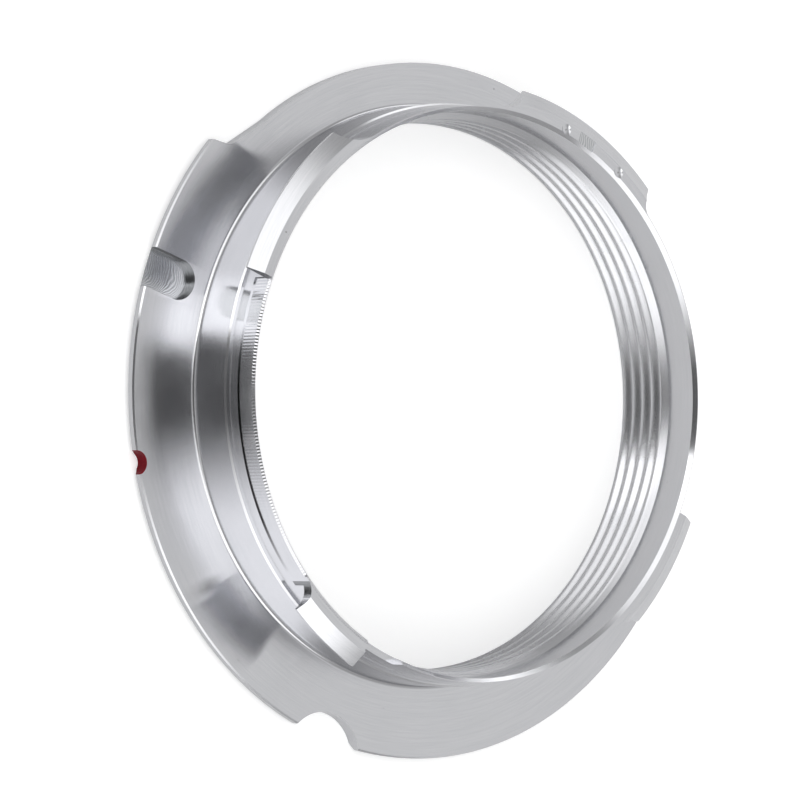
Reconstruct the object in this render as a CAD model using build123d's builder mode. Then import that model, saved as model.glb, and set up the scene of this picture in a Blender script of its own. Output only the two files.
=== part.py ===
from build123d import *
from math import cos, radians, sin, tan
import os

# Lens mount adapter: one turned and milled ring with a lens thread inside and four bayonet lugs outside.
# Millimetres and degrees. Z is the ring's axis, z = 0 is the flange's front face, where the lens
# shoulder seats, and +X runs through the index mark. Angles turn from +X towards +Y.

# Lens thread, right-handed: its crest, its pitch, the depth, root flat and flank angle of its groove,
# and the angle at which the groove's middle passes through the flange's front face
thread_crest_radius = 18.96
thread_pitch = 1.0
thread_depth = 0.52
thread_root_flat = 0.12
thread_flank_angle = 30.0
thread_start_angle = 304.0
thread_length = 4.15
thread_entry_chamfer = 0.05

# Clear bore behind the thread, reached over a lead-in cone
lead_in_width = 0.54
lead_in_height = 0.3
bore_rear_chamfer = 0.25

# The tube's wall in the milled gaps, and how far the groove, the spigot and the lugs stand out,
# each from the one before
gap_wall = 0.3
groove_rise = 0.1
spigot_rise = 0.25
lug_rise = 1.35

# Flange, as wide as this beyond the spigot
flange_width = 5.05
flange_thickness = 1.0
flange_front_chamfer = 0.45
flange_rear_chamfer = 0.1

# The stretch of the flange that is cut back: its depth, its two corners on the full radius, the foot
# of the wall below each corner, and where the run-out meets the smaller radius. The last two angles
# are counted from the corner.
cut_back_depth = 2.0
cut_back_corners = (143.6, 306.4)
cut_back_foot_rise = 0.65
cut_back_foot_angle = 1.8
cut_back_run_out_angle = 10.4
cut_back_foot_fillet = 1.2
cut_back_chamfer = 0.12

# Round bite out of the flange's rim, with its centre this far outside the rim
bite_angle = 58.6
bite_radius = 3.24
bite_centre_offset = 1.44

# Slot for the camera's locking pin, with the centre of its round end this far inside the rim
pin_slot_angle = 329.8
pin_slot_width = 2.8
pin_slot_reach = 2.45
pin_slot_depth = 0.6

# Index notch, with its centre this far outside the rim, and the coat of paint in it
index_notch_radius = 0.83
index_notch_centre_offset = 0.13
paint_thickness = 0.05

# Spigot that centres the adapter in the camera's mount
spigot_length = 3.45
spigot_base_fillet = 0.3
spigot_chamfer = 0.12

# Bayonet lugs, behind a groove of this width
groove_width = 1.95
lug_land = 0.2
lug_bevel_width = 1.07
lug_bevel_height = 0.6

# Gaps milled between the lugs: the end of one lug, the cutter's radius there, the start of the next
# lug and the cutter's radius there. With no cutter the end is square, and any other end is a scoop
# whose cutter stopped at that angle.
gap_depth = 1.7
square_end = 0.0
fine_cutter = 1.2
medium_cutter = 3.0
broad_cutter = 5.5
lug_gaps = (
    (-33.2, square_end, 28.5, fine_cutter),
    (48.2, square_end, 112.0, broad_cutter),
    (144.8, square_end, 209.0, fine_cutter),
    (255.0, medium_cutter, 288.0, medium_cutter),
)

# Relief milled down through the thin rim beside one lug
rim_relief_start = 48.2
rim_relief_end = 57.5
rim_relief_depth = 1.0

# Centre-drilled dimples and a shallow milled patch in the widest lug's rear face
dimple_angles = (221.0, 237.0)
dimple_inset = 0.48
dimple_radius = 0.41
dimple_depth = 0.25
patch_start = 229.0
patch_end = 233.4
patch_width = 1.3
patch_depth = 0.05

# Distance by which a cutting shape runs past the surface that it opens. The thread's groove has its
# own, because its turns must stay clear of each other there.
overrun = 0.5
thread_overrun = 0.1

# Radii and heights that follow from the sizes above
thread_root_radius = thread_crest_radius + thread_depth
bore_radius = thread_crest_radius + lead_in_width
gap_radius = bore_radius + gap_wall
groove_radius = gap_radius + groove_rise
spigot_radius = groove_radius + spigot_rise
lug_radius = spigot_radius + lug_rise
flange_radius = spigot_radius + flange_width
cut_back_radius = flange_radius - cut_back_depth
cut_back_foot_radius = cut_back_radius + cut_back_foot_rise
bite_centre_radius = flange_radius + bite_centre_offset
pin_slot_centre_radius = flange_radius - pin_slot_reach
index_notch_centre_radius = flange_radius + index_notch_centre_offset
spigot_top_height = flange_thickness + spigot_length
lug_front_height = spigot_top_height + groove_width
rear_height = lug_front_height + lug_land + lug_bevel_height


def polar(radius, angle):
    """Point at a radius and an angle about the ring's axis."""
    return (radius * cos(radians(angle)), radius * sin(radians(angle)))


def sector(inner, outer, start, end):
    """Annular sector between two radii and two angles, as a face."""
    middle = (start + end) / 2
    with BuildSketch(mode=Mode.PRIVATE) as shape:
        with BuildLine():
            Line(polar(inner, start), polar(outer, start))
            ThreePointArc(polar(outer, start), polar(outer, middle), polar(outer, end))
            Line(polar(outer, end), polar(inner, end))
            ThreePointArc(polar(inner, end), polar(inner, middle), polar(inner, start))
        make_face()
    return shape.sketch


def cut_back_outline():
    """Face of the flange material that is cut away between the two corners."""
    first, last = cut_back_corners
    middle = (first + last) / 2
    outer = flange_radius + overrun
    spread = cut_back_foot_angle * overrun / (flange_radius - cut_back_foot_radius)
    first_foot = first + cut_back_foot_angle
    last_foot = last - cut_back_foot_angle
    first_run_out = first + cut_back_run_out_angle
    last_run_out = last - cut_back_run_out_angle
    with BuildSketch(mode=Mode.PRIVATE) as shape:
        with BuildLine():
            Line(polar(outer, first - spread), polar(cut_back_foot_radius, first_foot))
            Line(polar(cut_back_foot_radius, first_foot), polar(cut_back_radius, first_run_out))
            ThreePointArc(
                polar(cut_back_radius, first_run_out),
                polar(cut_back_radius, middle),
                polar(cut_back_radius, last_run_out),
            )
            Line(polar(cut_back_radius, last_run_out), polar(cut_back_foot_radius, last_foot))
            Line(polar(cut_back_foot_radius, last_foot), polar(outer, last + spread))
            ThreePointArc(
                polar(outer, last + spread),
                polar(outer, middle),
                polar(outer, first - spread),
            )
        make_face()
        feet = [
            shape.vertices().sort_by_distance(polar(cut_back_foot_radius, angle))[0]
            for angle in (first_foot, last_foot)
        ]
        fillet(feet, cut_back_foot_fillet)
    return shape.sketch


def groove_turn():
    """One turn of the thread's groove, as a solid that starts on the X axis at z = 0."""
    inner = thread_crest_radius - thread_overrun
    root_half = thread_root_flat / 2
    mouth_half = root_half + (thread_root_radius - inner) * tan(radians(thread_flank_angle))
    with BuildPart(mode=Mode.PRIVATE) as turn:
        with BuildLine() as path:
            Helix(thread_pitch, thread_pitch, thread_root_radius)
        with BuildSketch(Plane.XZ):
            with BuildLine():
                Polyline(
                    (inner, -mouth_half),
                    (thread_root_radius, -root_half),
                    (thread_root_radius, root_half),
                    (inner, mouth_half),
                    close=True,
                )
            make_face()
        sweep(path=path.line, is_frenet=True)
    return turn.part.solid()


# Half section of the flange's envelope: the full radius with its two chamfers
flange_section = (
    (thread_crest_radius, 0),
    (flange_radius - flange_front_chamfer, 0),
    (flange_radius, flange_front_chamfer),
    (flange_radius, flange_thickness - flange_rear_chamfer),
    (flange_radius - flange_rear_chamfer, flange_thickness),
    (thread_crest_radius, flange_thickness),
)

# Half section of the whole ring, from the front of the thread round the outside to the bore
ring_section = (
    (thread_crest_radius + thread_entry_chamfer, 0),
    *flange_section[1:5],
    (spigot_radius, flange_thickness),
    (spigot_radius, spigot_top_height - spigot_chamfer),
    (spigot_radius - spigot_chamfer, spigot_top_height),
    (groove_radius, spigot_top_height),
    (groove_radius, lug_front_height),
    (lug_radius, lug_front_height),
    (lug_radius, lug_front_height + lug_land),
    (lug_radius - lug_bevel_width, rear_height),
    (bore_radius + bore_rear_chamfer, rear_height),
    (bore_radius, rear_height - bore_rear_chamfer),
    (bore_radius, thread_length + lead_in_height),
    (thread_crest_radius, thread_length),
    (thread_crest_radius, thread_entry_chamfer),
)


# Adapter ring
with BuildPart() as adapter_ring:
    with BuildSketch(Plane.XZ) as half_section:
        with BuildLine():
            Polyline(*ring_section, close=True)
        make_face()
        spigot_foot = half_section.vertices().sort_by_distance((spigot_radius, flange_thickness))[0]
        fillet(spigot_foot, spigot_base_fillet)
    revolve(axis=Axis.Z)

    # Stretch of the flange cut back to the smaller radius, with its front and rear edges broken
    with BuildSketch(Plane.XY):
        add(cut_back_outline())
    extrude(amount=flange_thickness, mode=Mode.SUBTRACT)
    cut_back_middle = polar(cut_back_radius, sum(cut_back_corners) / 2) + (flange_thickness / 2,)
    cut_back_edges = adapter_ring.edges().filter_by(GeomType.CIRCLE).sort_by_distance(cut_back_middle)[:2]
    chamfer(cut_back_edges, cut_back_chamfer)

    # Round bite and index notch through the rim
    with BuildSketch(Plane.XY):
        with Locations(polar(bite_centre_radius, bite_angle)):
            Circle(bite_radius)
        with Locations(polar(index_notch_centre_radius, 0)):
            Circle(index_notch_radius)
    extrude(amount=flange_thickness, mode=Mode.SUBTRACT)

    # Slot for the locking pin, open at the rim
    pin_slot_centre = polar(pin_slot_centre_radius, pin_slot_angle)
    with BuildSketch(Plane.XY.offset(flange_thickness - pin_slot_depth)):
        with Locations(pin_slot_centre):
            Circle(pin_slot_width / 2)
        with Locations(Location(pin_slot_centre + (0,), pin_slot_angle)):
            Rectangle(pin_slot_reach + overrun, pin_slot_width, align=(Align.MIN, Align.CENTER))
    extrude(amount=pin_slot_depth, mode=Mode.SUBTRACT)

    # Lens thread, a turn at a time, from before the front face until it has run out in the lead-in
    for turn in range(-1, 5):
        with Locations(Location((0, 0, turn * thread_pitch), (0, 0, thread_start_angle))):
            add(groove_turn(), mode=Mode.SUBTRACT)

    # Gaps between the lugs
    with BuildSketch(Plane.XY.offset(rear_height - gap_depth)):
        for start, start_cutter, end, end_cutter in lug_gaps:
            add(sector(gap_radius, lug_radius + overrun, start, end))
            for angle, cutter in ((start, start_cutter), (end, end_cutter)):
                if cutter > square_end:
                    with Locations(polar(gap_radius + cutter, angle)):
                        Circle(cutter)
    extrude(amount=gap_depth, mode=Mode.SUBTRACT)

    # Relief through the rim beside one lug
    with BuildSketch(Plane.XY.offset(rear_height - rim_relief_depth)):
        add(sector(bore_radius - overrun, gap_radius + overrun, rim_relief_start, rim_relief_end))
    extrude(amount=rim_relief_depth, mode=Mode.SUBTRACT)

    # Dimples and shallow patch in the widest lug's rear face
    for angle in dimple_angles:
        with Locations(polar(bore_radius + dimple_inset, angle) + (rear_height,)):
            Cone(
                bottom_radius=0,
                top_radius=dimple_radius,
                height=dimple_depth,
                align=(Align.CENTER, Align.CENTER, Align.MAX),
                mode=Mode.SUBTRACT,
            )
    with BuildSketch(Plane.XY.offset(rear_height - patch_depth)):
        add(sector(bore_radius - overrun, bore_radius + patch_width, patch_start, patch_end))
    extrude(amount=patch_depth, mode=Mode.SUBTRACT)


# Coat of paint on the index notch's wall, inside the flange's envelope
with BuildPart() as index_mark_paint:
    with BuildSketch(Plane.XY):
        with Locations(polar(index_notch_centre_radius, 0)):
            Circle(index_notch_radius)
            Circle(index_notch_radius - paint_thickness, mode=Mode.SUBTRACT)
    extrude(amount=flange_thickness)
    with BuildSketch(Plane.XZ):
        with BuildLine():
            Polyline(*flange_section, close=True)
        make_face()
    revolve(axis=Axis.Z, mode=Mode.INTERSECT)


# Label and write each piece
os.makedirs("parts", exist_ok=True)
for piece, name in (
    (adapter_ring, "adapter_ring"),
    (index_mark_paint, "index_mark_paint"),
):
    piece.part.label = name
    export_step(piece.part, f"parts/{name}.step")
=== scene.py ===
import math
from collections import namedtuple

import bpy
from mathutils import Matrix, Vector


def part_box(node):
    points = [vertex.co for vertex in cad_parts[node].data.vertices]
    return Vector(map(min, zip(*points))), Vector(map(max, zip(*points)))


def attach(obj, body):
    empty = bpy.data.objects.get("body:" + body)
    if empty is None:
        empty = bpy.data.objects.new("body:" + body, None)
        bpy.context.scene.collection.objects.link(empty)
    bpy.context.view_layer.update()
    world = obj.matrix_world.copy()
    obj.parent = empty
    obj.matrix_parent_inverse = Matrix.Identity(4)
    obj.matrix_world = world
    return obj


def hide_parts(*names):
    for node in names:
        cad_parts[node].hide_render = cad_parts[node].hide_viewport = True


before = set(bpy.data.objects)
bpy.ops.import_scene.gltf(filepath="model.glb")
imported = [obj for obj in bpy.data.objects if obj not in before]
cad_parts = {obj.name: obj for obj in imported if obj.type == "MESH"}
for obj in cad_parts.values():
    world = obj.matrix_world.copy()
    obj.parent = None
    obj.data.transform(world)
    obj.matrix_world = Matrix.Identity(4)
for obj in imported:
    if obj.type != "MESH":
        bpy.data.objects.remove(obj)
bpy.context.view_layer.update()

# Sizes are in millimetres and degrees, as on the drawing of the ring. Angles turn about the ring's
# axis, from the index mark at 0, seen from the lug side. MM turns millimetres into Blender's metres.
MM = 0.001

# Sizes that the frame gives
ring_low, ring_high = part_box("adapter_ring")
FLANGE_RADIUS = ring_high[1] / MM
REAR_HEIGHT = ring_high[2] / MM

# Right-handed lens thread: its crest and root, its groove, which passes through the flange's front
# face at THREAD_START, the entry chamfer, and the lead-in cone from the last crest to the bore. The
# wall is modelled in rows THREAD_ROW high, and its corners are rounded over THREAD_ROUNDING.
THREAD_CREST = 18.96
THREAD_ROOT = 19.48
THREAD_PITCH = 1.0
THREAD_HALF_FLAT = 0.06
THREAD_FLANK_ANGLE = 30.0
THREAD_START = 304.0
THREAD_END = 4.15
THREAD_ENTRY = 0.05
LEAD_IN_HEIGHT = 0.3
THREAD_WALL_TOP = THREAD_END + LEAD_IN_HEIGHT
THREAD_ROW = 0.04
THREAD_ROUNDING = 0.2

# Bore and tube, as radii
BORE = 19.5
BORE_REAR_CHAMFER = 0.25
GAP_RADIUS = 19.8
GROOVE_RADIUS = 19.9
SPIGOT_RADIUS = 20.15
LUG_RADIUS = 21.5

# Heights and edges
FLANGE_THICKNESS = 1.0
FLANGE_FRONT_CHAMFER = 0.45
FLANGE_REAR_CHAMFER = 0.1
SPIGOT_TOP = 4.45
SPIGOT_CHAMFER = 0.12
SPIGOT_FOOT_FILLET = 0.3
FOOT_FILLET_STEPS = 6
LUG_FRONT = 6.4
LUG_LAND = 0.2
LUG_BEVEL_WIDTH = 1.07
GAP_FLOOR = 5.5

# Turned shapes have TURN_STEPS in a full circle, and round cutters CUTTER_STEPS. Cutters reach past
# the metal by OVERRUN, and faces that meet at less than SMOOTH_ANGLE are shaded as one.
TURN_STEPS = 360
CUTTER_STEPS = 96
OVERRUN = 0.5
SMOOTH_ANGLE = 28.0

# Points this near to each other are merged, and a place is found to within NEAR
MERGE = 0.005
NEAR = 0.01

# Flange stretch that is cut back to a smaller radius
CUT_BACK_RADIUS = 23.2
CUT_BACK_CORNERS = (143.6, 306.4)
CUT_BACK_FOOT_RADIUS = 23.85
CUT_BACK_FOOT_ANGLE = 1.8
CUT_BACK_RUN_OUT_ANGLE = 10.4
CUT_BACK_FOOT_FILLET = 1.2
CUT_BACK_STEPS = 140
CUT_BACK_FILLET_STEPS = 12
CUT_BACK_OUTSIDE_STEPS = 40

# Round bite, index notch and locking-pin slot
BITE_ANGLE, BITE_RADIUS, BITE_CENTRE = 58.6, 3.24, 26.64
NOTCH_RADIUS, NOTCH_CENTRE = 0.83, 25.33
SLOT_ANGLE, SLOT_WIDTH, SLOT_CENTRE, SLOT_DEPTH = 329.8, 2.8, 22.75, 0.6

# Gaps between the lugs: end of one lug, cutter radius there, start of the next lug, cutter radius
# there. A cutter of zero leaves a square end.
LUG_GAPS = (
    (-33.2, 0.0, 28.5, 1.2),
    (48.2, 0.0, 112.0, 5.5),
    (144.8, 0.0, 209.0, 1.2),
    (255.0, 3.0, 288.0, 3.0),
)

# Bevel on the tube's rear edge, which stops just short of the lugs at both ends of the first gap
RIM_GAP = (-32.8, 27.9)
RIM_BEVEL = 0.25

# Relief through the thin rim beside one lug, dimples and shallow patch on the widest lug
RELIEF_START, RELIEF_END, RELIEF_FLOOR = 48.0, 57.5, 6.2
DIMPLE_ANGLES, DIMPLE_CENTRE, DIMPLE_RADIUS, DIMPLE_DEPTH = (221.0, 237.0), 19.98, 0.41, 0.25
PATCH_START, PATCH_END, PATCH_RADIUS, PATCH_DEPTH = 229.0, 233.4, 20.8, 0.05


def linear(hex_colour):
    """An sRGB hex colour as the linear colour that a shader socket takes."""
    channels = [int(hex_colour[i:i + 2], 16) / 255 for i in (1, 3, 5)]
    values = [c / 12.92 if c <= 0.04045 else ((c + 0.055) / 1.055) ** 2.4 for c in channels]
    return (*values, 1.0)


def polar(radius, angle, height=0.0):
    """Place at a radius, an angle and a height in millimetres, as a vector in metres."""
    turn = math.radians(angle)
    return Vector((radius * math.cos(turn), radius * math.sin(turn), height)) * MM


# Modelling helpers

def start_from(primitive, **settings):
    """Add one primitive with nothing else selected, and return its object."""
    bpy.ops.object.select_all(action="DESELECT")
    primitive(**settings)
    return bpy.context.object


def finish_edit():
    """Merge doubles, turn the faces outwards and leave edit mode."""
    bpy.ops.mesh.select_all(action="SELECT")
    bpy.ops.mesh.remove_doubles(threshold=MERGE * MM)
    bpy.ops.mesh.normals_make_consistent(inside=False)
    bpy.ops.object.mode_set(mode="OBJECT")


def place_at_origin(piece):
    """Put the piece's place into its mesh."""
    bpy.ops.object.select_all(action="DESELECT")
    piece.select_set(True)
    bpy.context.view_layer.objects.active = piece
    bpy.ops.object.transform_apply(location=True, rotation=True, scale=True)


def turned(name, section, start=0.0, sweep=360.0, steps=TURN_STEPS):
    """Turn a closed section of (radius, height) points about the ring's axis. The operator turns
    clockwise for a positive angle, so it is given the opposite one."""
    fill = "NGON" if sweep < 360.0 else "NOTHING"
    piece = start_from(bpy.ops.mesh.primitive_circle_add, vertices=len(section), fill_type=fill)
    piece.name = name
    for vertex, (radius, height) in zip(piece.data.vertices, section):
        vertex.co = polar(radius, start, height)
    bpy.ops.object.mode_set(mode="EDIT")
    bpy.ops.mesh.select_all(action="SELECT")
    bpy.ops.mesh.spin(steps=steps, angle=-math.radians(sweep), center=(0, 0, 0), axis=(0, 0, 1))
    finish_edit()
    return piece


def prism(name, outline, low, high):
    """Extrude a closed outline of flat points from one height to another."""
    piece = start_from(bpy.ops.mesh.primitive_circle_add, vertices=len(outline), fill_type="NGON")
    piece.name = name
    for vertex, point in zip(piece.data.vertices, outline):
        vertex.co = Vector((point[0], point[1], low * MM))
    bpy.ops.object.mode_set(mode="EDIT")
    bpy.ops.mesh.select_all(action="SELECT")
    bpy.ops.mesh.extrude_region_move(TRANSFORM_OT_translate={"value": (0, 0, (high - low) * MM)})
    finish_edit()
    return piece


def drum(name, radius, centre, low, high, tip=None):
    """Round cutter from one height to another; with a tip radius it tapers downwards to it."""
    piece = start_from(
        bpy.ops.mesh.primitive_cone_add,
        vertices=CUTTER_STEPS,
        radius1=(radius if tip is None else tip) * MM,
        radius2=radius * MM,
        depth=(high - low) * MM,
        location=(centre.x, centre.y, (low + high) / 2 * MM),
    )
    piece.name = name
    place_at_origin(piece)
    return piece


def cut(piece, cutters):
    """Cut all the cutters out of the piece, and delete them."""
    bpy.ops.object.select_all(action="DESELECT")
    tools = bpy.data.collections.new("cutters")
    for cutter in cutters:
        tools.objects.link(cutter)
    bpy.context.view_layer.objects.active = piece
    piece.select_set(True)
    modifier = piece.modifiers.new("cut", "BOOLEAN")
    modifier.operation = "DIFFERENCE"
    modifier.operand_type = "COLLECTION"
    modifier.collection = tools
    modifier.solver = "EXACT"
    bpy.ops.object.modifier_apply(modifier=modifier.name)
    for cutter in cutters:
        bpy.data.objects.remove(cutter)
    bpy.data.collections.remove(tools)


def annulus(name, inner, outer, start, end, low, high):
    """Sector of a flat ring, as a cutter with about one step to a degree."""
    section = ((inner, low), (outer, low), (outer, high), (inner, high))
    return turned(name, section, start, end - start, steps=max(2, round(end - start)))


def rim_bevel():
    """Cutter for the bevel along the tube's rear edge in the first gap. Its inner face lies at 45
    degrees, and runs on past the bevel by half the bevel's width on both sides."""
    reach = RIM_BEVEL * 2
    section = (
        (GAP_RADIUS + RIM_BEVEL / 2, REAR_HEIGHT - RIM_BEVEL * 1.5),
        (GAP_RADIUS + reach, REAR_HEIGHT + reach),
        (GAP_RADIUS - RIM_BEVEL * 1.5, REAR_HEIGHT + RIM_BEVEL / 2),
    )
    start, end = RIM_GAP
    return turned("rim_bevel", section, start, end - start, steps=round(end - start))


# Ring: section turned, then milled

def thread_wall():
    """Plain wall from the front face to the end of the lead-in, in rows fine enough for the thread."""
    count = round(THREAD_WALL_TOP / THREAD_ROW)
    wall = start_from(bpy.ops.mesh.primitive_circle_add, vertices=TURN_STEPS, radius=THREAD_CREST * MM)
    bpy.ops.object.mode_set(mode="EDIT")
    for _ in range(count):
        rise = (0, 0, THREAD_WALL_TOP / count * MM)
        bpy.ops.mesh.extrude_region_move(TRANSFORM_OT_translate={"value": rise})
    bpy.ops.object.mode_set(mode="OBJECT")
    return wall


def foot_fillet():
    """Arc from the flange's face up to the spigot."""
    centre_radius = SPIGOT_RADIUS + SPIGOT_FOOT_FILLET
    centre_height = FLANGE_THICKNESS + SPIGOT_FOOT_FILLET
    points = []
    for i in range(FOOT_FILLET_STEPS + 1):
        turn = math.radians(270 - 90 * i / FOOT_FILLET_STEPS)
        points.append((
            centre_radius + SPIGOT_FOOT_FILLET * math.cos(turn),
            centre_height + SPIGOT_FOOT_FILLET * math.sin(turn),
        ))
    return points


def ring_section():
    """Half section of the ring, from the front face round the outside to the thread."""
    bevel_foot = LUG_RADIUS - LUG_BEVEL_WIDTH
    return [
        (FLANGE_RADIUS - FLANGE_FRONT_CHAMFER, 0.0),
        (FLANGE_RADIUS, FLANGE_FRONT_CHAMFER),
        (FLANGE_RADIUS, FLANGE_THICKNESS - FLANGE_REAR_CHAMFER),
        (FLANGE_RADIUS - FLANGE_REAR_CHAMFER, FLANGE_THICKNESS),
        *foot_fillet(),
        (SPIGOT_RADIUS, SPIGOT_TOP - SPIGOT_CHAMFER),
        (SPIGOT_RADIUS - SPIGOT_CHAMFER, SPIGOT_TOP),
        (GROOVE_RADIUS, SPIGOT_TOP),
        (GROOVE_RADIUS, LUG_FRONT),
        (LUG_RADIUS, LUG_FRONT),
        (LUG_RADIUS, LUG_FRONT + LUG_LAND),
        (bevel_foot, REAR_HEIGHT),
        (BORE + BORE_REAR_CHAMFER, REAR_HEIGHT),
        (BORE, REAR_HEIGHT - BORE_REAR_CHAMFER),
        (THREAD_CREST, THREAD_WALL_TOP),
        (THREAD_CREST, 0.0),
    ]


def blend_larger(first, second):
    """The larger of two lengths, eased where they meet."""
    return (first + second + math.hypot(first - second, THREAD_ROUNDING)) / 2


def cut_thread(piece):
    """Shape the inner wall into the thread's helical groove, with its entry and its lead-in."""
    for vertex in piece.data.vertices:
        height = vertex.co.z / MM
        radius = vertex.co.xy.length / MM
        if radius > THREAD_CREST + NEAR or height > THREAD_WALL_TOP + NEAR:
            continue
        turns = (math.degrees(math.atan2(vertex.co.y, vertex.co.x)) - THREAD_START) / 360
        pitches = height / THREAD_PITCH - turns
        off_middle = abs(pitches - round(pitches)) * THREAD_PITCH
        off_flat = blend_larger(0.0, off_middle - THREAD_HALF_FLAT)
        groove = THREAD_ROOT - off_flat / math.tan(math.radians(THREAD_FLANK_ANGLE))
        entry = THREAD_CREST + THREAD_ENTRY - height
        lead_in = THREAD_CREST + (height - THREAD_END) * (BORE - THREAD_CREST) / LEAD_IN_HEIGHT
        shaped = max(blend_larger(THREAD_CREST, groove), entry, lead_in)
        vertex.co.x *= shaped / radius
        vertex.co.y *= shaped / radius


def fit_thread_wall(ring):
    """Swap the ring's plain inner wall for the one in fine rows."""
    bpy.ops.object.select_all(action="DESELECT")
    ring.select_set(True)
    bpy.context.view_layer.objects.active = ring
    bpy.ops.object.mode_set(mode="EDIT")
    bpy.ops.mesh.select_mode(type="FACE")
    bpy.ops.mesh.select_all(action="DESELECT")
    bpy.ops.object.mode_set(mode="OBJECT")
    for face in ring.data.polygons:
        corners = [ring.data.vertices[v].co for v in face.vertices]
        radius = max(corner.xy.length for corner in corners) / MM
        height = max(corner.z for corner in corners) / MM
        face.select = radius < THREAD_CREST + NEAR and height < THREAD_WALL_TOP + NEAR
    bpy.ops.object.mode_set(mode="EDIT")
    bpy.ops.mesh.delete(type="FACE")
    bpy.ops.mesh.select_mode(type="VERT")
    bpy.ops.object.mode_set(mode="OBJECT")
    wall = thread_wall()
    wall.select_set(True)
    ring.select_set(True)
    bpy.context.view_layer.objects.active = ring
    bpy.ops.object.join()
    bpy.ops.object.mode_set(mode="EDIT")
    finish_edit()


def cut_back_outline():
    """Outline of the flange material cut away between the two corners, in metres. Its outer side has
    few steps, so it stays well clear of the rim."""
    first, last = CUT_BACK_CORNERS
    outer = FLANGE_RADIUS + OVERRUN
    spread = CUT_BACK_FOOT_ANGLE * OVERRUN / (FLANGE_RADIUS - CUT_BACK_FOOT_RADIUS)

    # One end: a wall that leans in to a rounded foot, from which the floor runs out to full depth
    def end(corner, inward):
        top = polar(outer, corner - inward * spread)
        foot = polar(CUT_BACK_FOOT_RADIUS, corner + inward * CUT_BACK_FOOT_ANGLE)
        run_out = polar(CUT_BACK_RADIUS, corner + inward * CUT_BACK_RUN_OUT_ANGLE)
        wall = (top - foot).normalized()
        floor = (run_out - foot).normalized()
        half = wall.angle(floor) / 2
        centre = foot + (wall + floor).normalized() * CUT_BACK_FOOT_FILLET * MM / math.sin(half)
        setback = CUT_BACK_FOOT_FILLET * MM / math.tan(half)
        first_radius = foot + wall * setback - centre
        last_radius = foot + floor * setback - centre
        turn = first_radius.angle(last_radius)
        axis = first_radius.cross(last_radius).normalized()
        arc = [
            centre + Matrix.Rotation(turn * i / CUT_BACK_FILLET_STEPS, 3, axis) @ first_radius
            for i in range(CUT_BACK_FILLET_STEPS + 1)
        ]
        return [top, *arc]

    start_angle = first + CUT_BACK_RUN_OUT_ANGLE
    sweep = last - first - 2 * CUT_BACK_RUN_OUT_ANGLE
    floor = [
        polar(CUT_BACK_RADIUS, start_angle + sweep * i / CUT_BACK_STEPS) for i in range(CUT_BACK_STEPS + 1)
    ]
    outside = [
        polar(outer + 4 * OVERRUN, last - (last - first) * i / CUT_BACK_OUTSIDE_STEPS)
        for i in range(CUT_BACK_OUTSIDE_STEPS + 1)
    ]
    return [*end(first, 1), *floor, *reversed(end(last, -1)), *outside]


def slot_outline():
    """Outline of the locking-pin slot: a round inner end, and open past the rim."""
    centre = polar(SLOT_CENTRE, SLOT_ANGLE)
    half = SLOT_WIDTH / 2
    steps = CUTTER_STEPS // 2
    end = [centre + polar(half, SLOT_ANGLE + 90 + 180 * i / steps) for i in range(steps + 1)]
    reach = polar(FLANGE_RADIUS + OVERRUN - SLOT_CENTRE, SLOT_ANGLE)
    return [*end, end[-1] + reach, end[0] + reach]


def lug_end(angle, cutter, side):
    """Points of one end of a gap, from the tube outwards: a square wall, or the scoop of a round
    cutter that stopped at that angle, a quarter of its circle at most."""
    outer = LUG_RADIUS + OVERRUN
    if cutter == 0:
        return [polar(GAP_RADIUS, angle), polar(outer, angle)]
    centre = polar(GAP_RADIUS + cutter, angle)
    points = []
    for i in range(CUTTER_STEPS // 4 + 1):
        point = centre + polar(cutter, angle + 180 - side * 360 * i / CUTTER_STEPS)
        if point.length > outer * MM:
            break
        points.append(point)
    last_angle = math.degrees(math.atan2(points[-1].y, points[-1].x))
    return [*points, polar(outer, last_angle)]


def gap_outline(start, start_cutter, end, end_cutter):
    """Outline of one gap between two lugs."""
    steps = round(end - start)
    inner = [polar(GAP_RADIUS, start + (end - start) * i / steps) for i in range(1, steps)]
    last = lug_end(end, end_cutter, 1)
    first = lug_end(start, start_cutter, -1)
    last_angle = math.degrees(math.atan2(last[-1].y, last[-1].x)) % 360
    first_angle = math.degrees(math.atan2(first[-1].y, first[-1].x)) % 360
    sweep = (last_angle - first_angle) % 360
    beyond = LUG_RADIUS + 2 * OVERRUN
    outside = [polar(beyond, last_angle - sweep * i / steps) for i in range(steps + 1)]
    return [*inner, *last, *outside, *reversed(first)]


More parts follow.
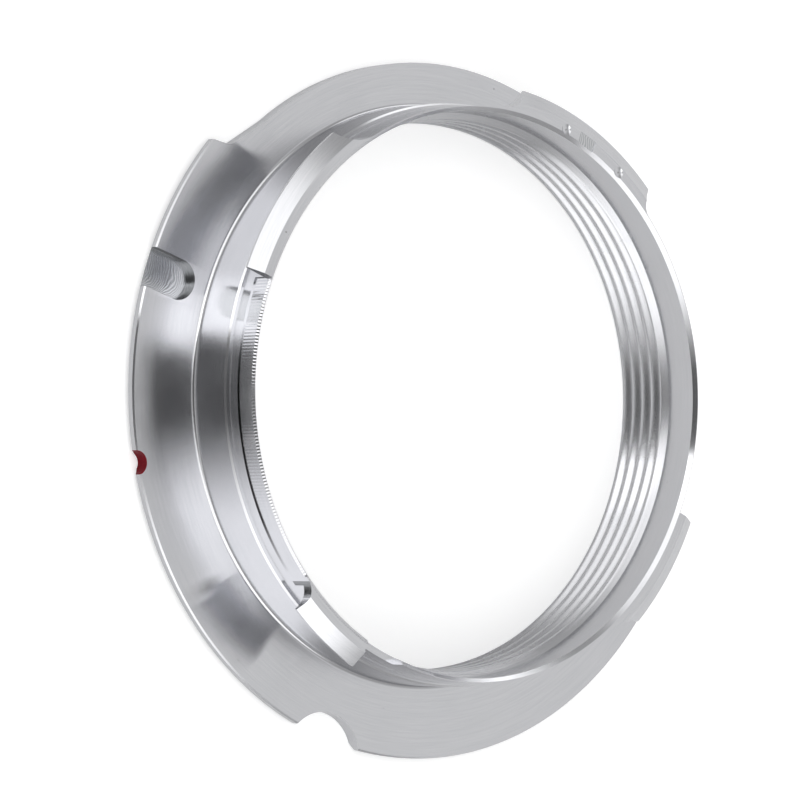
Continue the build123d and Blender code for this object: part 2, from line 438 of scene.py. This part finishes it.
def build_ring():
    """The whole ring, turned and then milled. A dimple's cutter is a cone, as wide at the rear face as
    the dimple."""
    ring = turned("ring", ring_section())
    top = FLANGE_THICKNESS + OVERRUN
    past_rear = REAR_HEIGHT + OVERRUN
    cut(ring, [
        prism("cut_back", cut_back_outline(), -OVERRUN, top),
        drum("bite", BITE_RADIUS, polar(BITE_CENTRE, BITE_ANGLE), -OVERRUN, top),
        drum("notch", NOTCH_RADIUS, polar(NOTCH_CENTRE, 0), -OVERRUN, top),
        prism("slot", slot_outline(), FLANGE_THICKNESS - SLOT_DEPTH, top),
        *(prism("gap", gap_outline(*gap), GAP_FLOOR, past_rear) for gap in LUG_GAPS),
    ])
    cut(ring, [
        annulus("relief", BORE - OVERRUN, GAP_RADIUS + OVERRUN, RELIEF_START, RELIEF_END,
                RELIEF_FLOOR, past_rear),
        annulus("patch", BORE - OVERRUN, PATCH_RADIUS, PATCH_START, PATCH_END,
                REAR_HEIGHT - PATCH_DEPTH, past_rear),
        rim_bevel(),
        *(drum("dimple", DIMPLE_RADIUS * 2, polar(DIMPLE_CENTRE, angle), REAR_HEIGHT - DIMPLE_DEPTH,
               REAR_HEIGHT + DIMPLE_DEPTH, tip=0.0) for angle in DIMPLE_ANGLES),
    ])
    fit_thread_wall(ring)
    cut_thread(ring)

    bpy.ops.object.select_all(action="DESELECT")
    ring.select_set(True)
    bpy.context.view_layer.objects.active = ring
    bpy.ops.object.shade_smooth_by_angle(angle=math.radians(SMOOTH_ANGLE))
    return ring


# Materials

# A Mix node's colour inputs and its colour result, by number, because the names serve all its kinds
COLOUR_A, COLOUR_B, COLOUR_RESULT = 6, 7, 2

# Nearly all of a noise's values lie within these
NOISE_LIMITS = (0.3, 0.7)

Place = namedtuple("Place", "vector x y height radius angle")


def add_node(tree, kind, inputs=(), **settings):
    """Add one node with its settings. An input takes a value, or a link from a socket or from another
    node's first socket."""
    new = tree.nodes.new(kind)
    for key, value in settings.items():
        setattr(new, key, value)
    for key, value in dict(inputs).items():
        if isinstance(value, bpy.types.Node):
            value = value.outputs[0]
        if isinstance(value, bpy.types.NodeSocket):
            tree.links.new(value, new.inputs[key])
        else:
            new.inputs[key].default_value = value
    return new


def ramp(start, end, low=0.0, high=1.0):
    """Limits for a Map Range node: start becomes low, and end becomes high."""
    return {"From Min": start, "From Max": end, "To Min": low, "To Max": high}


def limits(low, high):
    """Limits for a Compare node, as their middle and half their width."""
    return {1: (low + high) / 2, 2: (high - low) / 2}


def new_material(name):
    """A material with an empty node tree."""
    material = bpy.data.materials.new(name)
    material.use_nodes = True
    material.node_tree.nodes.clear()
    return material


def place_on_ring(tree):
    """Place on the ring in millimetres, with the angle in radians."""
    in_metres = add_node(tree, "ShaderNodeTexCoord").outputs["Object"]
    vector = add_node(tree, "ShaderNodeVectorMath", {0: in_metres, "Scale": 1 / MM}, operation="SCALE")
    x, y, height = add_node(tree, "ShaderNodeSeparateXYZ", {0: vector}).outputs
    flat = add_node(tree, "ShaderNodeCombineXYZ", {0: x, 1: y})
    radius = add_node(tree, "ShaderNodeVectorMath", {0: flat}, operation="LENGTH").outputs["Value"]
    angle = add_node(tree, "ShaderNodeMath", {0: y, 1: x}, operation="ARCTAN2")
    return Place(vector, x, y, height, radius, angle)


# Turning marks, in millimetres. They are drawn coarser than real ones, by a guess of two times, so that
# they show.
STREAK_WIDTH = 0.1
STREAK_LENGTH = 3.0
STREAK_DEPTH = 0.00025

# Handling clouds and pits, in millimetres. A pit fades out between two radii, given in pit spacings,
# and only the cells drawn above PIT_SHARE have one.
CLOUD_SIZE = 2.857
PIT_SPACING = 1.667
PIT_FADE = (0.02, 0.05)
PIT_SHARE = 0.6

# Serrations that the mill left on the tube: faint on its wall, and sharp on the bevel of its rim
SERRATION_PITCH = 0.22
SERRATED_RADIUS = (19.6, 19.86)
SERRATED_HEIGHT = 5.65
SERRATED_SECTOR = (-33.2, 66.0)
WALL_SERRATION, RIM_SERRATION = 0.0012, 0.005
SERRATION_RISE = 0.04

# Line of painted shade in the corner at the tube's foot, where the gap floor meets the tube, which fades out
# at both ends of its sector
SHADE_LINE_RADIUS = (19.77, 19.93)
SHADE_LINE_HEIGHT = (5.49, 5.54)
SHADE_LINE_SECTOR = (-24.0, 27.0)
SHADE_LINE_FADE = 12.0

# Gloss of the turned faces, from the most polished clouds to the least, and how much duller the tap
# left the thread
TURNED_ROUGHNESS = (0.13, 0.18)
THREAD_DULLNESS = 0.1


def turned_streaks(tree, place):
    """Streaks round the axis: fine across the cut and long along it. Two of the noise's four axes go
    round with the angle, so that a streak has no seam."""
    cosine = add_node(tree, "ShaderNodeMath", {0: place.angle}, operation="COSINE")
    sine = add_node(tree, "ShaderNodeMath", {0: place.angle}, operation="SINE")
    across = add_node(tree, "ShaderNodeCombineXYZ", {
        0: add_node(tree, "ShaderNodeMath", {0: place.radius, 1: STREAK_WIDTH}, operation="DIVIDE"),
        1: add_node(tree, "ShaderNodeMath", {0: place.height, 1: STREAK_WIDTH}, operation="DIVIDE"),
        2: add_node(tree, "ShaderNodeMath", {0: cosine, 1: BORE / STREAK_LENGTH}, operation="MULTIPLY"),
    })
    return add_node(tree, "ShaderNodeTexNoise", {
        "Vector": across,
        "W": add_node(tree, "ShaderNodeMath", {0: sine, 1: BORE / STREAK_LENGTH}, operation="MULTIPLY"),
        "Scale": 1.0,
        "Detail": 2.0,
        "Roughness": 0.7,
    }, noise_dimensions="4D")


def tube_serrations(tree, place):
    """Height of the serrations, in millimetres: ridges along the axis, one pitch apart round the tube."""
    ridge_count = round(2 * math.pi * GAP_RADIUS / SERRATION_PITCH)
    phase = add_node(tree, "ShaderNodeMath", {0: place.angle, 1: ridge_count}, operation="MULTIPLY")
    serrations = add_node(tree, "ShaderNodeMath", {0: phase}, operation="SINE")
    bevel_foot = REAR_HEIGHT - RIM_BEVEL
    depth = ramp(bevel_foot - SERRATION_RISE, bevel_foot, WALL_SERRATION, RIM_SERRATION)
    start, end = SERRATED_SECTOR
    sector = limits(math.radians(start), math.radians(end))
    for share in (
        add_node(tree, "ShaderNodeMath", {0: place.radius, **limits(*SERRATED_RADIUS)}, operation="COMPARE"),
        add_node(tree, "ShaderNodeMath", {0: place.angle, **sector}, operation="COMPARE"),
        add_node(tree, "ShaderNodeMath", {0: place.height, 1: SERRATED_HEIGHT}, operation="GREATER_THAN"),
        add_node(tree, "ShaderNodeMapRange", {"Value": place.height, **depth}),
    ):
        serrations = add_node(tree, "ShaderNodeMath", {0: serrations, 1: share}, operation="MULTIPLY")
    return serrations


def painted_shade_line(tree, place):
    """One on the line of painted shade in the corner at the tube's foot, and zero off it."""
    start, end = SHADE_LINE_SECTOR
    fade_in = ramp(math.radians(start), math.radians(start + SHADE_LINE_FADE))
    fade_out = ramp(math.radians(end - SHADE_LINE_FADE), math.radians(end), 1.0, 0.0)
    line = 1.0
    for share in (
        add_node(tree, "ShaderNodeMath", {0: place.radius, **limits(*SHADE_LINE_RADIUS)}, operation="COMPARE"),
        add_node(tree, "ShaderNodeMath", {0: place.height, **limits(*SHADE_LINE_HEIGHT)}, operation="COMPARE"),
        add_node(tree, "ShaderNodeMapRange", {"Value": place.angle, **fade_in}),
        add_node(tree, "ShaderNodeMapRange", {"Value": place.angle, **fade_out}),
    ):
        line = add_node(tree, "ShaderNodeMath", {0: line, 1: share}, operation="MULTIPLY")
    return line


def pits(tree, place):
    """One in a few small pits, each in the middle of a cell, and zero around them."""
    cells = add_node(tree, "ShaderNodeTexVoronoi", {"Vector": place.vector, "Scale": 1 / PIT_SPACING})
    pick = add_node(tree, "ShaderNodeSeparateXYZ", {0: cells.outputs["Color"]})
    return add_node(tree, "ShaderNodeMath", {
        0: add_node(tree, "ShaderNodeMapRange", {"Value": pick, **ramp(PIT_SHARE, 1.0)}),
        1: add_node(tree, "ShaderNodeMapRange", {
            "Value": cells.outputs["Distance"], **ramp(*PIT_FADE, 1.0, 0.0),
        }),
    }, operation="MULTIPLY")


def across_the_cut(tree, place):
    """Direction along the face, square to the turning marks, in which they draw out a reflection."""
    behind = add_node(tree, "ShaderNodeMath", {0: place.y, 1: -1.0}, operation="MULTIPLY")
    around = add_node(tree, "ShaderNodeCombineXYZ", {0: behind, 1: place.x})
    facing = add_node(tree, "ShaderNodeNewGeometry").outputs["Normal"]
    return add_node(tree, "ShaderNodeVectorMath", {0: facing, 1: around}, operation="CROSS_PRODUCT")


def satin_chrome_plate():
    """Satin chrome over turned brass: a bright cool grey metal. Its fine turning marks run round the
    axis, draw its reflections out across the cut and break them into streaks."""
    material = new_material("satin_chrome_plate")
    tree = material.node_tree
    place = place_on_ring(tree)
    streaks = turned_streaks(tree, place)
    turned_marks = add_node(tree, "ShaderNodeBump", {
        "Strength": 1.0, "Distance": STREAK_DEPTH * MM, "Height": streaks,
    })
    all_marks = add_node(tree, "ShaderNodeBump", {
        "Strength": 1.0, "Distance": MM, "Height": tube_serrations(tree, place), "Normal": turned_marks,
    })

    # Bright plate, a little lighter along the streaks, with grey pits and a dark line of painted shade in
    # the corner at the tube's foot
    plate = add_node(tree, "ShaderNodeMix", {
        "Factor": add_node(tree, "ShaderNodeMapRange", {"Value": streaks, **ramp(*NOISE_LIMITS)}),
        COLOUR_A: linear("#CBCCCF"),
        COLOUR_B: linear("#D2D2D5"),
    }, data_type="RGBA").outputs[COLOUR_RESULT]
    pitted = add_node(tree, "ShaderNodeMix", {
        "Factor": pits(tree, place), COLOUR_A: plate, COLOUR_B: linear("#6A6866"),
    }, data_type="RGBA").outputs[COLOUR_RESULT]
    # The dark grey mixed in here is painted shade along the corner at the tube's foot
    with_shade_line = add_node(tree, "ShaderNodeMix", {
        "Factor": painted_shade_line(tree, place), COLOUR_A: pitted, COLOUR_B: linear("#4A494A"),
    }, data_type="RGBA").outputs[COLOUR_RESULT]

    # Gloss in broad soft clouds, where it has been handled, and duller in the thread
    clouds = add_node(tree, "ShaderNodeTexNoise", {
        "Vector": place.vector, "Scale": 1 / CLOUD_SIZE, "Detail": 3.0, "Roughness": 0.55,
    })
    turned_gloss = add_node(tree, "ShaderNodeMapRange", {
        "Value": clouds, **ramp(*NOISE_LIMITS, *TURNED_ROUGHNESS),
    })
    in_thread = add_node(tree, "ShaderNodeMath", {
        0: place.radius, **limits(THREAD_CREST - NEAR, THREAD_ROOT + NEAR),
    }, operation="COMPARE")
    gloss = add_node(tree, "ShaderNodeMath", {
        0: in_thread, 1: THREAD_DULLNESS, 2: turned_gloss,
    }, operation="MULTIPLY_ADD")

    shader = add_node(tree, "ShaderNodeBsdfPrincipled", {
        "Base Color": with_shade_line,
        "Metallic": 1.0,
        "Roughness": gloss,
        "Anisotropic": 0.9,
        "Tangent": across_the_cut(tree, place),
        "Normal": all_marks,
    })
    add_node(tree, "ShaderNodeOutputMaterial", {"Surface": shader})
    return material


# Marks of the end mill, in millimetres: one feed apart, and wavering by up to SWIRL_WAVER feeds over
# WAVER_SIZE. Below, the gloss of the milled faces, and how steep the walls are that get painted shade.
SWIRL_PITCH = 0.2
SWIRL_DEPTH = 0.0012
SWIRL_WAVER = 4.0
WAVER_SIZE = 1.111
MILLED_ROUGHNESS = (0.18, 0.26)
SHADED_WALL_SLOPE = (0.2, 0.6)


def mill_swirls(tree, place, waver):
    """Arcs of the end mill as it came in along the slot, as a wave from -1 to 1. Beyond the mill's own
    width they go on as straight lines."""
    slot = add_node(tree, "ShaderNodeVectorRotate", {
        "Vector": place.vector, "Axis": (0, 0, 1), "Angle": -math.radians(SLOT_ANGLE),
    }, rotation_type="AXIS_ANGLE")
    split = add_node(tree, "ShaderNodeSeparateXYZ", {0: slot})
    along, aside = split.outputs["X"], split.outputs["Y"]
    aside_squared = add_node(tree, "ShaderNodeMath", {0: aside, 1: aside}, operation="MULTIPLY")
    reach_squared = add_node(tree, "ShaderNodeMath", {
        0: (SLOT_WIDTH / 2) ** 2, 1: aside_squared,
    }, operation="SUBTRACT")
    within = add_node(tree, "ShaderNodeMath", {0: reach_squared, 1: 0.0}, operation="MAXIMUM")
    reach = add_node(tree, "ShaderNodeMath", {0: within}, operation="SQRT")
    arc = add_node(tree, "ShaderNodeMath", {0: along, 1: reach}, operation="ADD")
    feeds = add_node(tree, "ShaderNodeMath", {0: arc, 1: SWIRL_PITCH}, operation="DIVIDE")
    wavering = add_node(tree, "ShaderNodeMath", {
        0: waver, 1: SWIRL_WAVER, 2: feeds,
    }, operation="MULTIPLY_ADD")
    phase = add_node(tree, "ShaderNodeMath", {0: wavering, 1: 2 * math.pi}, operation="MULTIPLY")
    return add_node(tree, "ShaderNodeMath", {0: phase}, operation="SINE")


def end_milled_chrome_plate():
    """Chrome over a floor left by an end mill: duller than the turned faces, with the mill's arcs one
    feed apart, and with painted shade on its upright walls."""
    material = new_material("end_milled_chrome_plate")
    tree = material.node_tree
    place = place_on_ring(tree)
    waver = add_node(tree, "ShaderNodeTexNoise", {
        "Vector": place.vector, "Scale": 1 / WAVER_SIZE, "Detail": 1.0,
    })
    swirls = mill_swirls(tree, place, waver)
    marks = add_node(tree, "ShaderNodeBump", {
        "Strength": 1.0, "Distance": SWIRL_DEPTH * MM, "Height": swirls,
    })
    floor = add_node(tree, "ShaderNodeMix", {
        "Factor": add_node(tree, "ShaderNodeMapRange", {"Value": swirls, **ramp(-1.0, 1.0)}),
        COLOUR_A: linear("#B4B6B8"),
        COLOUR_B: linear("#D0D1D3"),
    }, data_type="RGBA").outputs[COLOUR_RESULT]

    # Painted shade: a darker colour on the upright walls, and the floor's colour on what is level
    facing = add_node(tree, "ShaderNodeNewGeometry").outputs["Normal"]
    upward = add_node(tree, "ShaderNodeSeparateXYZ", {0: facing}).outputs["Z"]
    level = add_node(tree, "ShaderNodeMath", {0: upward}, operation="ABSOLUTE")
    colour = add_node(tree, "ShaderNodeMix", {
        "Factor": add_node(tree, "ShaderNodeMapRange", {"Value": level, **ramp(*SHADED_WALL_SLOPE)}),
        COLOUR_A: linear("#8E8F91"),
        COLOUR_B: floor,
    }, data_type="RGBA").outputs[COLOUR_RESULT]
    shader = add_node(tree, "ShaderNodeBsdfPrincipled", {
        "Base Color": colour,
        "Metallic": 1.0,
        "Roughness": add_node(tree, "ShaderNodeMapRange", {
            "Value": waver, **ramp(*NOISE_LIMITS, *MILLED_ROUGHNESS),
        }),
        "Normal": marks,
    })
    add_node(tree, "ShaderNodeOutputMaterial", {"Surface": shader})
    return material


# How far to either side of the lug's end its scooped face reaches, in degrees, and the normal's rise
# below which a face is upright
SCOOP_REACH = 3.0
UPRIGHT = 0.5


def give_milled_faces(ring):
    """Give the end-milled plate to the slot, to the scooped end of the lug beside the first gap and to
    the shallow patch on the widest lug."""
    ring.data.materials.append(end_milled_chrome_plate())
    scoop_angle = LUG_GAPS[0][2]
    for face in ring.data.polygons:
        radius = face.center.xy.length / MM
        height = face.center.z / MM
        angle = math.degrees(math.atan2(face.center.y, face.center.x)) % 360
        off_slot = abs(math.radians(angle - SLOT_ANGLE)) * radius
        in_slot = (
            off_slot < SLOT_WIDTH / 2 + NEAR
            and SLOT_CENTRE - SLOT_WIDTH / 2 - NEAR < radius < FLANGE_RADIUS - NEAR
            and FLANGE_THICKNESS - SLOT_DEPTH - NEAR < height < FLANGE_THICKNESS - NEAR
        )
        in_scoop = (
            scoop_angle - SCOOP_REACH < angle < scoop_angle + SCOOP_REACH
            and radius > GAP_RADIUS + NEAR
            and GAP_FLOOR + NEAR < height < REAR_HEIGHT - NEAR
            and abs(face.normal.z) < UPRIGHT
        )
        in_patch = (
            PATCH_START < angle < PATCH_END
            and radius < PATCH_RADIUS
            and REAR_HEIGHT - PATCH_DEPTH - NEAR < height < REAR_HEIGHT - NEAR
        )
        if in_slot or in_scoop or in_patch:
            face.material_index = 1


# Brush marks in the enamel, in millimetres, and its gloss
BRUSH_MARK_SIZE = 0.4
BRUSH_MARK_DEPTH = 0.01
ENAMEL_ROUGHNESS = (0.25, 0.45)


def gloss_red_enamel():
    """Gloss red enamel brushed into the index notch: deep red, thinner and brighter in places, with the
    brush's uneven gloss."""
    material = new_material("gloss_red_enamel")
    tree = material.node_tree
    coat = add_node(tree, "ShaderNodeTexNoise", {
        "Vector": add_node(tree, "ShaderNodeTexCoord").outputs["Object"],
        "Scale": 1 / (BRUSH_MARK_SIZE * MM),
        "Detail": 3.0,
        "Roughness": 0.6,
    })
    red = add_node(tree, "ShaderNodeMix", {
        "Factor": coat, COLOUR_A: linear("#5E0614"), COLOUR_B: linear("#860C1F"),
    }, data_type="RGBA").outputs[COLOUR_RESULT]
    brush_marks = add_node(tree, "ShaderNodeBump", {
        "Strength": 1.0, "Distance": BRUSH_MARK_DEPTH * MM, "Height": coat,
    })
    shader = add_node(tree, "ShaderNodeBsdfPrincipled", {
        "Base Color": red,
        "Roughness": add_node(tree, "ShaderNodeMapRange", {
            "Value": coat, **ramp(*NOISE_LIMITS, *ENAMEL_ROUGHNESS),
        }),
        "Specular IOR Level": 0.08,
        "Normal": brush_marks,
    })
    add_node(tree, "ShaderNodeOutputMaterial", {"Surface": shader})
    return material


# Camera at the photograph's viewing angle: a long lens, level with the photograph's own roll

CAMERA_AZIMUTH = -8.704
CAMERA_ELEVATION = 51.133
CAMERA_DISTANCE = 347.62
CAMERA_AIM = Vector((1.647, -0.026, 0.0))
CAMERA_UP = Vector((-0.17585, -0.98421, 0.02005))
SENSOR_WIDTH = 36.0
FOCAL_LENGTH = 225.0
NEAREST_SEEN = 10.0


def build_camera():
    """Camera that looks at the ring from the photograph's direction."""
    flat = math.cos(math.radians(CAMERA_ELEVATION))
    turn = math.radians(CAMERA_AZIMUTH)
    away = Vector((flat * math.cos(turn), flat * math.sin(turn), math.sin(math.radians(CAMERA_ELEVATION))))
    right = CAMERA_UP.cross(away).normalized()
    up = away.cross(right)
    data = bpy.data.cameras.new("camera")
    data.sensor_width = SENSOR_WIDTH
    data.lens = FOCAL_LENGTH
    data.clip_start = NEAREST_SEEN * MM
    camera = bpy.data.objects.new("camera", data)
    bpy.context.scene.collection.objects.link(camera)
    place = Matrix.Translation((CAMERA_AIM + away * CAMERA_DISTANCE) * MM)
    camera.matrix_world = place @ Matrix((right, up, away)).transposed().to_4x4()
    bpy.context.scene.camera = camera


# Floor, in metres: light of its own that a camera ray sees, and the share of it that a reflection sees
FLOOR_SIZE = 4.0
FLOOR_GLOW = 0.35
REFLECTED_GLOW = 0.05


def build_floor():
    """Plain white floor. Seen directly or in the metal it has a little light of its own, which keeps it
    white and leaves the ring's soft shadow on it."""
    floor = start_from(bpy.ops.mesh.primitive_plane_add, size=FLOOR_SIZE)
    floor.name = "floor"
    material = new_material("white_floor")
    tree = material.node_tree
    rays = add_node(tree, "ShaderNodeLightPath").outputs
    mirrored = add_node(tree, "ShaderNodeMath", {
        0: rays["Is Glossy Ray"], 1: REFLECTED_GLOW,
    }, operation="MULTIPLY")
    seen = add_node(tree, "ShaderNodeMath", {0: rays["Is Camera Ray"], 1: mirrored}, operation="MAXIMUM")
    glow = add_node(tree, "ShaderNodeMath", {0: seen, 1: FLOOR_GLOW}, operation="MULTIPLY")
    both = add_node(tree, "ShaderNodeAddShader", {
        0: add_node(tree, "ShaderNodeBsdfDiffuse", {"Color": linear("#F0F0F0")}),
        1: add_node(tree, "ShaderNodeEmission", {"Color": (1, 1, 1, 1), "Strength": glow}),
    })
    add_node(tree, "ShaderNodeOutputMaterial", {"Surface": both})
    floor.data.materials.append(material)


# Light tent, by direction from the ring. A turn is the angle round from the camera's side, and a rise
# the angle above the floor, in degrees. A patch has the limits of both, and how far its edges fade.
Patch = namedtuple("Patch", "turns rises turn_fade rise_fade")

# Walls of the tent: grey at the sides, and lighter from one turn to the other towards the back
TENT_SIDE, TENT_BACK = 0.45, 0.84
TENT_SIDE_TURN, TENT_BACK_TURN = 115, 155

# White sheets to the left and right of the camera, and the bare edge of the left lamp
LEFT_LIGHT, RIGHT_LIGHT = 1.65, 1.95
LEFT_SHEET = Patch(turns=(-92, 0), rises=(25, 84), turn_fade=11, rise_fade=4)
RIGHT_SHEET = Patch(turns=(0, 99), rises=(23, 84), turn_fade=6, rise_fade=3)
LAMP_EDGE = Patch(turns=(-46, -26), rises=(32, 66), turn_fade=2, rise_fade=4)
LAMP_EDGE_LIGHT = 2.5

# Opening for the camera: dark at its left, and as light as the right sheet at the ramp's end
OPENING = Patch(turns=(-25, 56), rises=(26, 80), turn_fade=2.5, rise_fade=3)
OPENING_DARK = 0.13
OPENING_RAMP = (4, 50)

# Low light behind on the left, and the dark seam where the tent's top meets its back
LOW_BACK = Patch(turns=(-140, -106), rises=(-8, 10), turn_fade=4, rise_fade=3)
LOW_BACK_LIGHT = 2.0
CEILING_SEAM = Patch(turns=(167, 200), rises=(59, 92), turn_fade=5, rise_fade=3)
CEILING_SEAM_LIGHT = 0.15


def lay_patch(tree, turn, rise, under, over, patch):
    """Lay a patch of light over what is there, with a soft fade along its four edges."""
    share = 1.0
    for value, (start, end), fade in (
        (turn, patch.turns, patch.turn_fade),
        (rise, patch.rises, patch.rise_fade),
    ):
        for limit, low, high in ((start, 0.0, 1.0), (end, 1.0, 0.0)):
            edge = add_node(tree, "ShaderNodeMapRange", {
                "Value": value, **ramp(limit - fade, limit + fade, low, high),
            }, interpolation_type="SMOOTHSTEP")
            share = add_node(tree, "ShaderNodeMath", {0: share, 1: edge}, operation="MULTIPLY")
    return add_node(tree, "ShaderNodeMix", {"Factor": share, "A": under, "B": over})


def build_world():
    """White light tent with a brighter sheet on each side, and a dark opening for the camera."""
    world = bpy.data.worlds.new("light_tent")
    bpy.context.scene.world = world
    world.use_nodes = True
    tree = world.node_tree
    tree.nodes.clear()

    # Turn and rise of the direction, in degrees
    from_camera = add_node(tree, "ShaderNodeVectorRotate", {
        "Vector": add_node(tree, "ShaderNodeTexCoord").outputs["Generated"],
        "Axis": (0, 0, 1),
        "Angle": -math.radians(CAMERA_AZIMUTH),
    }, rotation_type="AXIS_ANGLE")
    x, y, z = add_node(tree, "ShaderNodeSeparateXYZ", {0: from_camera}).outputs
    around = add_node(tree, "ShaderNodeMath", {0: y, 1: x}, operation="ARCTAN2")
    turn = add_node(tree, "ShaderNodeMath", {0: around}, operation="DEGREES")
    up = add_node(tree, "ShaderNodeMath", {0: z}, operation="ARCSINE")
    rise = add_node(tree, "ShaderNodeMath", {0: up}, operation="DEGREES")
    either_turn = add_node(tree, "ShaderNodeMath", {0: turn}, operation="ABSOLUTE")

    light = add_node(tree, "ShaderNodeMapRange", {
        "Value": either_turn, **ramp(TENT_SIDE_TURN, TENT_BACK_TURN, TENT_SIDE, TENT_BACK),
    }, interpolation_type="SMOOTHSTEP")
    opening = add_node(tree, "ShaderNodeMapRange", {
        "Value": turn, **ramp(*OPENING_RAMP, OPENING_DARK, RIGHT_LIGHT),
    }, interpolation_type="SMOOTHSTEP")
    light = lay_patch(tree, turn, rise, light, LOW_BACK_LIGHT, LOW_BACK)
    light = lay_patch(tree, either_turn, rise, light, CEILING_SEAM_LIGHT, CEILING_SEAM)
    light = lay_patch(tree, turn, rise, light, LEFT_LIGHT, LEFT_SHEET)
    light = lay_patch(tree, turn, rise, light, RIGHT_LIGHT, RIGHT_SHEET)
    light = lay_patch(tree, turn, rise, light, opening, OPENING)
    light = lay_patch(tree, turn, rise, light, LAMP_EDGE_LIGHT, LAMP_EDGE)
    shade = add_node(tree, "ShaderNodeBackground", {"Color": (1, 1, 1, 1), "Strength": light})
    add_node(tree, "ShaderNodeOutputWorld", {"Surface": shade})


ring = build_ring()
ring.data.materials.clear()
ring.data.materials.append(satin_chrome_plate())
give_milled_faces(ring)
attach(ring, "root")
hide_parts("adapter_ring")

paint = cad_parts["index_mark_paint"]
paint.data.materials.clear()
paint.data.materials.append(gloss_red_enamel())

build_camera()
build_floor()
build_world()
bpy.context.scene.view_settings.view_transform = "Standard"
